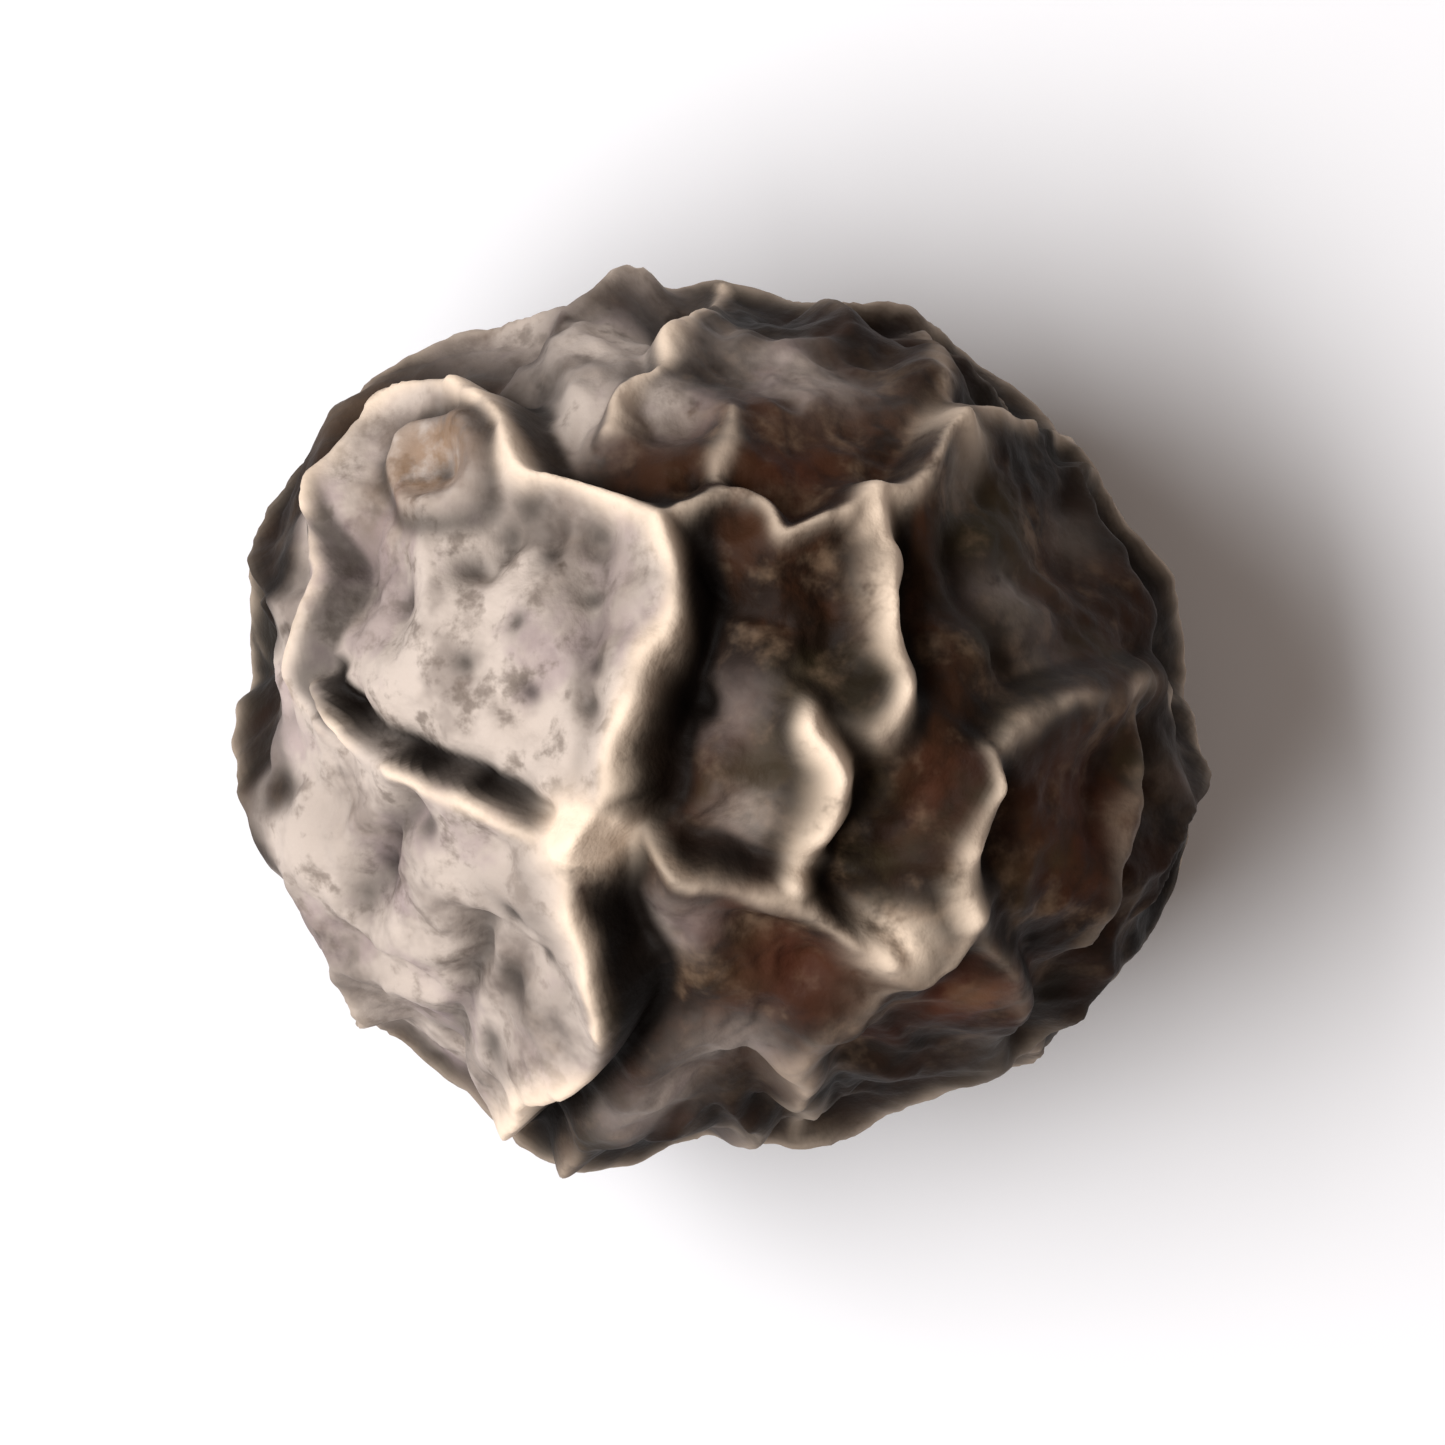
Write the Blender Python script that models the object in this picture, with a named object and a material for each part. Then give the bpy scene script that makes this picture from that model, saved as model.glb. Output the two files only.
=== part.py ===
"""A black peppercorn: one dried berry whose skin has shrunk into a raised net of wrinkles.

Its longest width lies along X, its crown points up, and it rests on a small flat spot at z = 0.
"""

import math
from collections import namedtuple

import bmesh
import bpy
import numpy as np
from mathutils import Matrix, Vector, noise

MM = 0.001
FULL_TURN = 2 * math.pi
GOLDEN_ANGLE = math.pi * (3 - math.sqrt(5))
TINY = 1e-9

# Fineness: each edge of the twenty-sided starting solid is split into this many, and the skin is
# then thinned to this share of its triangles, which keeps them where the wrinkles bend it
EDGE_SPLITS = 52
KEPT_SHARE = 0.213

# The smooth berry under the wrinkles, in mm: its radius from above, in even steps anticlockwise
# from +X, and how far it reaches above and below its widest level
OUTLINE_RADII = (
    2.41, 2.41, 2.24, 2.28, 2.31, 2.21, 2.25, 2.30, 2.32, 2.47, 2.50, 2.49,
    2.41, 2.47, 2.38, 2.29, 2.29, 2.34, 2.09, 2.09, 2.12, 2.34, 2.50, 2.53,
)
CROWN_HEIGHT = 2.32
BASE_DEPTH = 2.38
MEAN_RADIUS = 2.45

# The flat spot that it rests on. The wrinkles grow out of calm skin round it
FLAT_SPOT_RADIUS = 0.75
CALM_RADIUS = 0.45
WRINKLED_BY = 1.7

# The wrinkles' profile. A crest beside a deep valley is steeper on that side by this share and
# gentler on the other, and where crests meet, a higher power keeps them sharper
CREST_SHARPNESS = 1.5
CREST_MEETING_POWER = 4
FLANK_STEEPNESS = 0.35
DEEP_VALLEY = 0.19

# In crest widths: how far a valley lies from its crest, how wide it is toward the crest and toward
# the panel, and how far from the ends of the crest it fades
VALLEY_OFFSET = 1.5
VALLEY_STEEP_SIDE = 0.6
VALLEY_PANEL_SIDE = 1.3
VALLEY_END_FADE = 1.2

# A shift picks another part of the noise, along this line
NOISE_LINE = (1.0, 1.7, 2.3)

# How much the crests' heights and widths vary, and how far in mm they wander from their runs
CREST_VARIATION = 0.30
CREST_VARIATION_SCALE = 1.6
CREST_VARIATION_SHIFT = 9.0
WIDTH_VARIATION = 0.55
WIDTH_VARIATION_SCALE = 2.1
WIDTH_VARIATION_SHIFT = 15.0
WANDER = 0.10
WANDER_SCALE = 2.4
WANDER_SHIFTS = (101.0, 107.0, 113.0)
CURVE_STEPS = 4

# A wrinkle follows points in mm across the berry as seen from above, and those past the outline
# fold over its edge. Its height, its width and the depth of the valley on its left are in mm too.
Wrinkle = namedtuple("Wrinkle", "height width valley points")

CRESTS = (
    # The main crest: over the top of the two broad panels, then down their right side
    Wrinkle(0.25, 0.13, 0.11, (
        (-2.30, 1.26), (-2.10, 1.64), (-1.80, 1.92), (-1.48, 1.97), (-1.25, 1.80), (-1.13, 1.52),
        (-0.90, 1.40), (-0.64, 1.30), (-0.35, 1.13),
    )),
    Wrinkle(0.27, 0.15, 0.19, (
        (-0.35, 1.13), (-0.28, 0.82), (-0.39, 0.46), (-0.50, 0.08), (-0.58, -0.34),
        (-0.77, -0.63), (-0.85, -0.95), (-0.71, -1.29), (-0.63, -1.62), (-0.80, -1.95),
        (-1.15, -2.22), (-1.45, -2.60),
    )),
    # The lip between the two broad panels: a low swell along the left edge, then a sharp fold
    Wrinkle(0.14, 0.14, 0.08, (
        (-2.26, 1.20), (-2.30, 0.85), (-2.37, 0.50), (-2.38, 0.20), (-2.27, -0.04),
    )),
    Wrinkle(0.14, 0.09, 0.15, (
        (-2.30, 0.26), (-2.16, 0.02), (-1.90, -0.20), (-1.65, -0.34), (-1.30, -0.46),
        (-1.02, -0.59), (-0.77, -0.63),
    )),
    # The lower edge of the cap, to the knot at the upper right and over the edge
    Wrinkle(0.21, 0.12, 0.07, (
        (-0.35, 1.13), (-0.06, 1.30), (0.20, 1.22), (0.40, 1.08), (0.64, 1.20), (0.95, 1.29),
        (1.18, 1.46), (1.42, 1.76), (1.75, 1.72), (2.30, 1.85),
    )),
    Wrinkle(0.18, 0.16, 0.05, ((1.42, 1.76), (1.26, 2.00), (1.30, 2.50))),
    # The two panels of the cap are parted by a fold that runs up over the edge
    Wrinkle(0.15, 0.10, 0.04, (
        (-0.60, 1.70), (-0.53, 1.88), (-0.34, 2.11), (-0.14, 2.34), (0.02, 2.80),
    )),
    Wrinkle(0.11, 0.12, 0.00, ((0.10, 1.78), (0.06, 1.58), (0.02, 1.34))),
    # The upright crests of the middle and the right
    Wrinkle(0.22, 0.12, 0.13, ((0.88, 1.27), (0.96, 0.91), (0.95, 0.53), (1.00, 0.23), (0.95, 0.00))),
    Wrinkle(0.22, 0.12, 0.12, (
        (0.56, 0.02), (0.70, -0.18), (0.63, -0.44), (0.51, -0.70), (0.44, -0.90),
    )),
    Wrinkle(0.21, 0.11, 0.10, (
        (1.56, -0.16), (1.58, -0.40), (1.50, -0.55), (1.43, -0.76), (1.48, -1.08),
    )),
    Wrinkle(0.16, 0.13, 0.05, ((1.48, -1.08), (1.60, -1.35), (1.69, -1.60), (1.62, -2.30))),
    Wrinkle(0.16, 0.14, 0.07, (
        (1.56, -0.16), (1.83, 0.04), (2.05, 0.16), (2.34, 0.20), (2.80, 0.20),
    )),
    Wrinkle(0.12, 0.14, 0.06, ((2.36, 0.20), (2.42, -0.25), (2.26, -0.75), (2.10, -1.20))),
    # The lower edge of the middle panel, to the knot at the lower right
    Wrinkle(0.18, 0.12, 0.11, (
        (-0.55, -0.44), (-0.36, -0.70), (-0.12, -0.89), (0.16, -0.95), (0.44, -0.96), (0.64, -1.12),
        (0.86, -1.27), (1.10, -1.36),
    )),
    Wrinkle(0.19, 0.15, 0.07, ((1.48, -1.08), (1.33, -1.26), (1.10, -1.36))),
    Wrinkle(0.17, 0.20, 0.05, (
        (1.10, -1.36), (0.78, -1.56), (0.52, -1.84), (0.50, -2.14), (0.54, -2.60),
    )),
)

# Round knots where crests meet: place and height above the crests, which reach this foot there
KNOTS = (
    (1.42, 1.76, 0.08),
    (1.09, -1.34, 0.19),
    (-0.77, -0.63, 0.05),
)
KNOT_FOOT = 0.22
KNOT_RADIUS = 0.16

# Shallow folds that only sink, within the panels
FOLDS = (
    Wrinkle(-0.15, 0.12, 0.0, ((-1.72, -0.46), (-1.86, -0.68), (-2.04, -0.98))),
    Wrinkle(-0.16, 0.12, 0.0, ((-1.34, -1.10), (-1.40, -1.45), (-1.42, -1.80))),
    Wrinkle(-0.10, 0.11, 0.0, ((-0.66, 1.02), (-0.68, 0.60), (-0.68, 0.14))),
    Wrinkle(-0.10, 0.12, 0.0, ((-1.38, 0.90), (-1.20, 1.12), (-0.92, 1.08))),
    Wrinkle(-0.05, 0.18, 0.0, ((-1.84, 0.92), (-1.82, 0.58))),
    Wrinkle(-0.09, 0.12, 0.0, ((-0.36, 2.00), (-0.40, 1.66))),
    Wrinkle(-0.10, 0.14, 0.0, ((1.30, 0.95), (1.62, 0.45), (1.72, 0.25))),
)

# The scar where the stalk left: a pad with a raised rim and a dimple, longer down the slope than
# across it
SCAR_CENTRE = (-1.57, 1.46)
SCAR_RADIUS = 0.26
SCAR_STRETCH = 1.5
SCAR_PAD = 0.05
SCAR_RIM = 0.08
SCAR_DIMPLE = 0.11
SCAR_RIM_WIDTH = 0.25
SCAR_DIMPLE_WIDTH = 0.5

# The hidden side has a coarse net of crests and a finer one in patches. Their panels lie round
# centres on an even spiral, each shifted a little. The patches take in this share of the net's
# height at least, and its whole height where the noise lies past the second level
Net = namedtuple("Net", "panels height width shift seed patch_share")

HIDDEN_NETS = (
    Net(46, 0.29, 0.17, 0.18, 5, 1.0),
    Net(140, 0.15, 0.10, 0.10, 11, 0.0),
)
PATCH_SCALE = 0.8
PATCH_SHIFT = 29.0
PATCH_LEVELS = (-0.25, 0.10)
NET_WARP = 0.17
NET_WARP_SCALE = 1.9
NET_WARP_SHIFTS = (3.1, 8.1, 13.1)
HIDDEN_FROM = 0.42
HIDDEN_FULL_BY = -0.12

# The panels sink between the crests, and small rounded wrinkles of two sizes cross them. Those
# fade on the flanks of the crests, where this share of them is left
PANEL_SINK = 0.07
SINK_SOFTNESS = 0.1
SMALL_WRINKLE_HEIGHTS = (0.10, 0.045)
SMALL_WRINKLE_SCALES = (0.95, 2.1)
SMALL_WRINKLE_SHIFT = 21.0
SMALL_WRINKLE_LEVEL = 0.35
SMALL_WRINKLE_ROUNDING = 0.14
FADED_BY_CREST = 0.2
FADED_SHARE = 0.8

SKIN_COLOUR = (0.060, 0.042, 0.032, 1.0)
SKIN_ROUGHNESS = 0.62


def smooth_step(low, high, values):
    """Goes from 0 at low to 1 at high with no corner."""
    share = np.clip((values - low) / (high - low), 0.0, 1.0)
    return share * share * (3.0 - 2.0 * share)


def outline_radius(azimuths):
    """The smooth berry's radius in mm from above: a closed curve through OUTLINE_RADII."""
    radii = np.array(OUTLINE_RADII)
    place = np.mod(azimuths / FULL_TURN, 1.0) * len(radii)
    index = np.floor(place).astype(int)
    share = place - index
    before, here, after, beyond = (radii[(index + step) % len(radii)] for step in (-1, 0, 1, 2))
    slope = (after - before) / 2
    next_slope = (beyond - here) / 2
    rise = after - here
    return here + share * (
        slope + share * ((3 * rise - 2 * slope - next_slope) + share * (slope + next_slope - 2 * rise))
    )


def direction_of(x, y, height):
    """The unit direction of a place at this height over the berry, given in mm as seen from above."""
    azimuth = math.atan2(y, x)
    share = math.hypot(x, y) / (float(outline_radius(np.array([azimuth]))[0]) + height)
    tilt = math.asin(share) if share < 1 else math.pi / 2 + (share - 1)
    return np.array([
        math.cos(azimuth) * math.sin(tilt),
        math.sin(azimuth) * math.sin(tilt),
        math.cos(tilt),
    ])


def curve_through(corners):
    """Points of a smooth curve through these corners, as rows."""
    padded = [corners[0], *corners, corners[-1]]
    points = []
    for before, here, after, beyond in zip(padded, padded[1:], padded[2:], padded[3:]):
        for step in range(CURVE_STEPS):
            t = step / CURVE_STEPS
            points.append(
                here
                + 0.5 * t * (after - before)
                + t * t * (before - 2.5 * here + 2 * after - 0.5 * beyond)
                + 0.5 * t ** 3 * (3 * here - before - 3 * after + beyond)
            )
    points.append(corners[-1])
    return np.array(points)


def nearest_on(wrinkle, places):
    """How far each place is from the wrinkle, which side it is on and how deep the valley is there.

    The distance is in crest widths. The side runs from -1, squarely right of its run, to 1.
    """
    height = max(wrinkle.height, 0.0)
    curve = curve_through([direction_of(x, y, height) * MEAN_RADIUS for x, y in wrinkle.points])
    away = np.full(len(places), np.inf)
    leftward = np.zeros(len(places))
    for start, end in zip(curve, curve[1:]):
        run = end - start
        share = np.clip((places - start) @ run / (run @ run), 0.0, 1.0)
        reach = np.linalg.norm(places - start - share[:, None] * run, axis=1)
        closer = reach < away
        to_left = np.cross(start, end)
        away[closer] = reach[closer]
        leftward[closer] = places[closer] @ to_left / np.linalg.norm(to_left)
    side = np.clip(leftward / np.maximum(away, TINY), -1.0, 1.0)

    from_end = np.minimum(*(np.linalg.norm(places - end, axis=1) for end in (curve[0], curve[-1])))
    lengthwise = smooth_step(0.0, VALLEY_END_FADE * wrinkle.width, from_end - away)
    across = away / wrinkle.width
    past = across - VALLEY_OFFSET
    past /= np.where(past < 0, VALLEY_STEEP_SIDE, VALLEY_PANEL_SIDE)
    valley = wrinkle.valley * np.maximum(side, 0.0) ** 2 * lengthwise * np.exp(-(past ** 2))
    return across, side, valley


def waves(places, scale, shift):
    """Smooth noise between -1 and 1 at these places."""
    offset = shift * Vector(NOISE_LINE)
    return np.array([noise.noise(Vector(place) * scale + offset) for place in places])


def wandering(places):
    """The places moved a little, so that wrinkles measured from them wander from their runs."""
    moved = np.column_stack([waves(places, WANDER_SCALE, shift) for shift in WANDER_SHIFTS])
    return places + WANDER * moved


def hidden_crests(net, wandered):
    """The net's crests on the hidden side, from 0 to 1, along the borders of its panels."""
    rng = np.random.default_rng(net.seed)
    index = np.arange(net.panels)
    height = 1 - (2 * index + 1) / net.panels
    azimuth = index * GOLDEN_ANGLE
    ring = np.sqrt(1 - height ** 2)
    centres = np.column_stack([ring * np.cos(azimuth), ring * np.sin(azimuth), height])
    centres += rng.normal(0.0, net.shift, centres.shape)
    centres /= np.linalg.norm(centres, axis=1)[:, None]

    directions = wandered / MEAN_RADIUS
    warp = np.column_stack([waves(directions, NET_WARP_SCALE, shift) for shift in NET_WARP_SHIFTS])
    warped = directions + NET_WARP * warp
    warped /= np.linalg.norm(warped, axis=1)[:, None]
    gaps = np.arccos(np.clip(warped @ centres.T, -1, 1))
    gaps.partition(1, axis=1)
    border = (gaps[:, 1] - gaps[:, 0]) / 2 * MEAN_RADIUS

    patches = smooth_step(*PATCH_LEVELS, waves(wandered, PATCH_SCALE, PATCH_SHIFT))
    cover = net.patch_share + (1 - net.patch_share) * patches
    cover *= smooth_step(HIDDEN_FROM, HIDDEN_FULL_BY, directions[:, 2])
    return cover * np.exp(-((border / net.width) ** CREST_SHARPNESS))


def from_scar(places):
    """How far each place is from the middle of the scar, in scar radii."""
    middle = direction_of(*SCAR_CENTRE, SCAR_PAD)
    down = middle[2] * middle - np.array((0.0, 0.0, 1.0))
    down /= np.linalg.norm(down)
    offset = places - middle * MEAN_RADIUS
    down_slope = (offset @ down)[:, None] * down
    return np.linalg.norm(offset - down_slope + down_slope / SCAR_STRETCH, axis=1) / SCAR_RADIUS


def relief(directions):
    """How far the skin stands above the smooth berry, in mm, in these directions."""
    places = directions * MEAN_RADIUS
    wandered = wandering(places)
    variation = 1 + CREST_VARIATION * waves(places, CREST_VARIATION_SCALE, CREST_VARIATION_SHIFT)
    widening = 1 + WIDTH_VARIATION * waves(places, WIDTH_VARIATION_SCALE, WIDTH_VARIATION_SHIFT)
    crests = np.zeros(len(places))
    valleys = np.zeros(len(places))
    for net in HIDDEN_NETS:
        rise = net.height * variation * hidden_crests(net, wandered)
        crests += rise ** CREST_MEETING_POWER
    for wrinkle in CRESTS:
        across, side, valley = nearest_on(wrinkle, wandered)
        across /= widening
        across *= 1 + FLANK_STEEPNESS * side * min(1.0, wrinkle.valley / DEEP_VALLEY)
        rise = wrinkle.height * variation * np.exp(-(across ** CREST_SHARPNESS))
        crests += rise ** CREST_MEETING_POWER
        valleys = np.maximum(valleys, valley)
    crests = crests ** (1 / CREST_MEETING_POWER)

    level = crests - valleys - PANEL_SINK * (1 - crests / (crests + SINK_SOFTNESS))
    for x, y, height in KNOTS:
        knot = direction_of(x, y, KNOT_FOOT + height) * MEAN_RADIUS
        away = np.linalg.norm(places - knot, axis=1)
        level += height * np.exp(-((away / KNOT_RADIUS) ** 2))
    for fold in FOLDS:
        across, _, _ = nearest_on(fold, wandered)
        level += fold.height * np.exp(-(across ** 2))

    away = from_scar(places)
    level += SCAR_PAD * np.exp(-(away ** 4))
    level += SCAR_RIM * np.exp(-(((away - 1) / SCAR_RIM_WIDTH) ** 2))
    level -= SCAR_DIMPLE * np.exp(-((away / SCAR_DIMPLE_WIDTH) ** 2))

    between = 1 - FADED_SHARE * smooth_step(0.0, FADED_BY_CREST, crests)
    for height, scale in zip(SMALL_WRINKLE_HEIGHTS, SMALL_WRINKLE_SCALES):
        folded = waves(places, scale, SMALL_WRINKLE_SHIFT)
        folded = np.sqrt(folded ** 2 + SMALL_WRINKLE_ROUNDING ** 2)
        level += height * between * (1 - folded / SMALL_WRINKLE_LEVEL)

    from_foot = np.arccos(np.clip(-directions[:, 2], -1, 1)) * MEAN_RADIUS
    return level * smooth_step(CALM_RADIUS, WRINKLED_BY, from_foot)


def skin_points(directions):
    """The skin's points in mm, in these directions from the berry's middle."""
    azimuths = np.arctan2(directions[:, 1], directions[:, 0])
    radius = outline_radius(azimuths)
    reach = np.where(directions[:, 2] > 0, CROWN_HEIGHT, BASE_DEPTH)
    extents = np.column_stack([radius, radius, reach])
    facing = directions / extents
    facing /= np.linalg.norm(facing, axis=1)[:, None]
    return directions * extents + relief(directions)[:, None] * facing


def press_flat(points):
    """Draws every point below the resting level in toward the middle, onto that level."""
    floor = -BASE_DEPTH * math.sqrt(1 - (FLAT_SPOT_RADIUS / MEAN_RADIUS) ** 2)
    below = points[:, 2] < floor
    points[below] *= (floor / points[below, 2])[:, None]
    points[below, 2] = floor
    return points


def thinned(mesh):
    """The mesh with only KEPT_SHARE of its triangles, while it is still drawn in mm."""
    full = bpy.data.objects.new("full_skin", mesh)
    bpy.context.collection.objects.link(full)
    thinning = full.modifiers.new("thinning", "DECIMATE")
    thinning.ratio = KEPT_SHARE
    graph = bpy.context.evaluated_depsgraph_get()
    kept = bpy.data.meshes.new_from_object(full.evaluated_get(graph))
    bpy.data.objects.remove(full)
    bpy.data.meshes.remove(mesh)
    return kept


def make_peppercorn():
    mesh = bpy.data.meshes.new("full_skin")
    shape = bmesh.new()
    bmesh.ops.create_icosphere(shape, subdivisions=1, radius=1.0)
    bmesh.ops.subdivide_edges(shape, edges=shape.edges[:], cuts=EDGE_SPLITS - 1, use_grid_fill=True)
    directions = np.array([vertex.co.normalized() for vertex in shape.verts])

    points = press_flat(skin_points(directions))
    low = points.min(axis=0)
    high = points.max(axis=0)
    points -= ((low[0] + high[0]) / 2, (low[1] + high[1]) / 2, low[2])
    for vertex, point in zip(shape.verts, points):
        vertex.co = Vector(point)

    bmesh.ops.recalc_face_normals(shape, faces=shape.faces[:])
    shape.to_mesh(mesh)
    shape.free()
    skin = thinned(mesh)
    skin.name = "peppercorn"
    skin.transform(Matrix.Scale(MM, 4))
    skin.polygons.foreach_set("use_smooth", [True] * len(skin.polygons))
    return skin


def skin_material():
    """Dried berry skin: dark brown, nearly black, and dull."""
    material = bpy.data.materials.new("dried_skin")
    material.use_nodes = True
    shader = material.node_tree.nodes["Principled BSDF"]
    shader.inputs["Base Color"].default_value = SKIN_COLOUR
    shader.inputs["Roughness"].default_value = SKIN_ROUGHNESS
    shader.inputs["Metallic"].default_value = 0.0
    return material


def main():
    for item in list(bpy.data.objects):
        bpy.data.objects.remove(item)
    berry = bpy.data.objects.new("peppercorn", make_peppercorn())
    berry.data.materials.append(skin_material())
    bpy.context.collection.objects.link(berry)


main()
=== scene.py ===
"""A single black peppercorn on a pale floor, seen from straight above.

The skin is drawn by the same relief as the part's source, with fine wrinkles added, and it is
coloured by that relief: pale worn crests and knots, the knots with a painted highlight, deep brown
panels, some with dust and a painted sheen, and near-black painted shade in the valleys, folds, pits,
hollows and over the rim.
"""

import math
from collections import namedtuple

import bmesh
import bpy
import numpy as np
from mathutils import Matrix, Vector, noise


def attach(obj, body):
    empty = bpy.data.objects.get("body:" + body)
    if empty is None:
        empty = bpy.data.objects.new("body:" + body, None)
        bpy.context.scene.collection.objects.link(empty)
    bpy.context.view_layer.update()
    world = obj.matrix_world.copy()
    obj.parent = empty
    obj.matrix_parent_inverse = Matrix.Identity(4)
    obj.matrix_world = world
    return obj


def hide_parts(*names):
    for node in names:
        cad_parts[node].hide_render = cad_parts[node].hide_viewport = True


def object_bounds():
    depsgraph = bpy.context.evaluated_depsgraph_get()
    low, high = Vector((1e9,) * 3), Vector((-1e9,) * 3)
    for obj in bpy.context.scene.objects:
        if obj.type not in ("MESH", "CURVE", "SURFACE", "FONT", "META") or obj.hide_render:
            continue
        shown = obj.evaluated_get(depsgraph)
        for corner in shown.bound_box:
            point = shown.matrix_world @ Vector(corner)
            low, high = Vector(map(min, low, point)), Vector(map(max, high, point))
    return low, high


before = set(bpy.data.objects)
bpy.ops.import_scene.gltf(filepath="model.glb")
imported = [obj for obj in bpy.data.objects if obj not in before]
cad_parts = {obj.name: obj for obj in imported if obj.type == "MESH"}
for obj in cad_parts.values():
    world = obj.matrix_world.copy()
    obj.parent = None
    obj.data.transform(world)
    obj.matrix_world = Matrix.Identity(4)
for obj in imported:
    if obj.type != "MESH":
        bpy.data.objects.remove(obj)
cad_low, cad_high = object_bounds()

MM = 0.001
FULL_TURN = 2 * math.pi
GOLDEN_ANGLE = math.pi * (3 - math.sqrt(5))
TINY = 1e-9

# Fineness of the skin: each edge of the twenty-sided starting solid is split into this many, and
# its points are drawn toward the crown by this share of the radius
EDGE_SPLITS = 98
CROWN_DENSITY = 0.2

# The smooth berry under the wrinkles, in mm: its radius from above, in even steps anticlockwise
# from +X, and how far it reaches above and below its widest level
OUTLINE_RADII = (
    2.41, 2.41, 2.24, 2.28, 2.31, 2.21, 2.25, 2.30, 2.32, 2.47, 2.50, 2.49,
    2.41, 2.47, 2.38, 2.29, 2.29, 2.34, 2.09, 2.09, 2.12, 2.34, 2.50, 2.53,
)
CROWN_HEIGHT = 2.32
BASE_DEPTH = 2.38
MEAN_RADIUS = 2.45

# The flat spot that it rests on. The wrinkles grow out of calm skin round it
FLAT_SPOT_RADIUS = 0.75
CALM_RADIUS = 0.45
WRINKLED_BY = 1.7

# The wrinkles' profile. A crest beside a deep valley is steeper on that side by this share and
# gentler on the other, and where crests meet, a higher power keeps them sharper
CREST_SHARPNESS = 1.5
CREST_MEETING_POWER = 4
FLANK_STEEPNESS = 0.35
DEEP_VALLEY = 0.19

# In crest widths: how far a valley lies from its crest, how wide it is toward the crest and toward
# the panel, and how far from the ends of the crest it fades
VALLEY_OFFSET = 1.5
VALLEY_STEEP_SIDE = 0.6
VALLEY_PANEL_SIDE = 1.3
VALLEY_END_FADE = 1.2

# A shift picks another part of the noise, along this line
NOISE_LINE = (1.0, 1.7, 2.3)

# How much the crests' heights and widths vary, and how far in mm they wander from their runs
CREST_VARIATION = 0.30
CREST_VARIATION_SCALE = 1.6
CREST_VARIATION_SHIFT = 9.0
WIDTH_VARIATION = 0.55
WIDTH_VARIATION_SCALE = 2.1
WIDTH_VARIATION_SHIFT = 15.0
WANDER = 0.10
WANDER_SCALE = 2.4
WANDER_SHIFTS = (101.0, 107.0, 113.0)
CURVE_STEPS = 4

# A wrinkle follows points in mm across the berry as seen from above, and those past the outline
# fold over its edge. Its height, its width and the depth of the valley on its left are in mm too.
Wrinkle = namedtuple("Wrinkle", "height width valley points")

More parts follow.
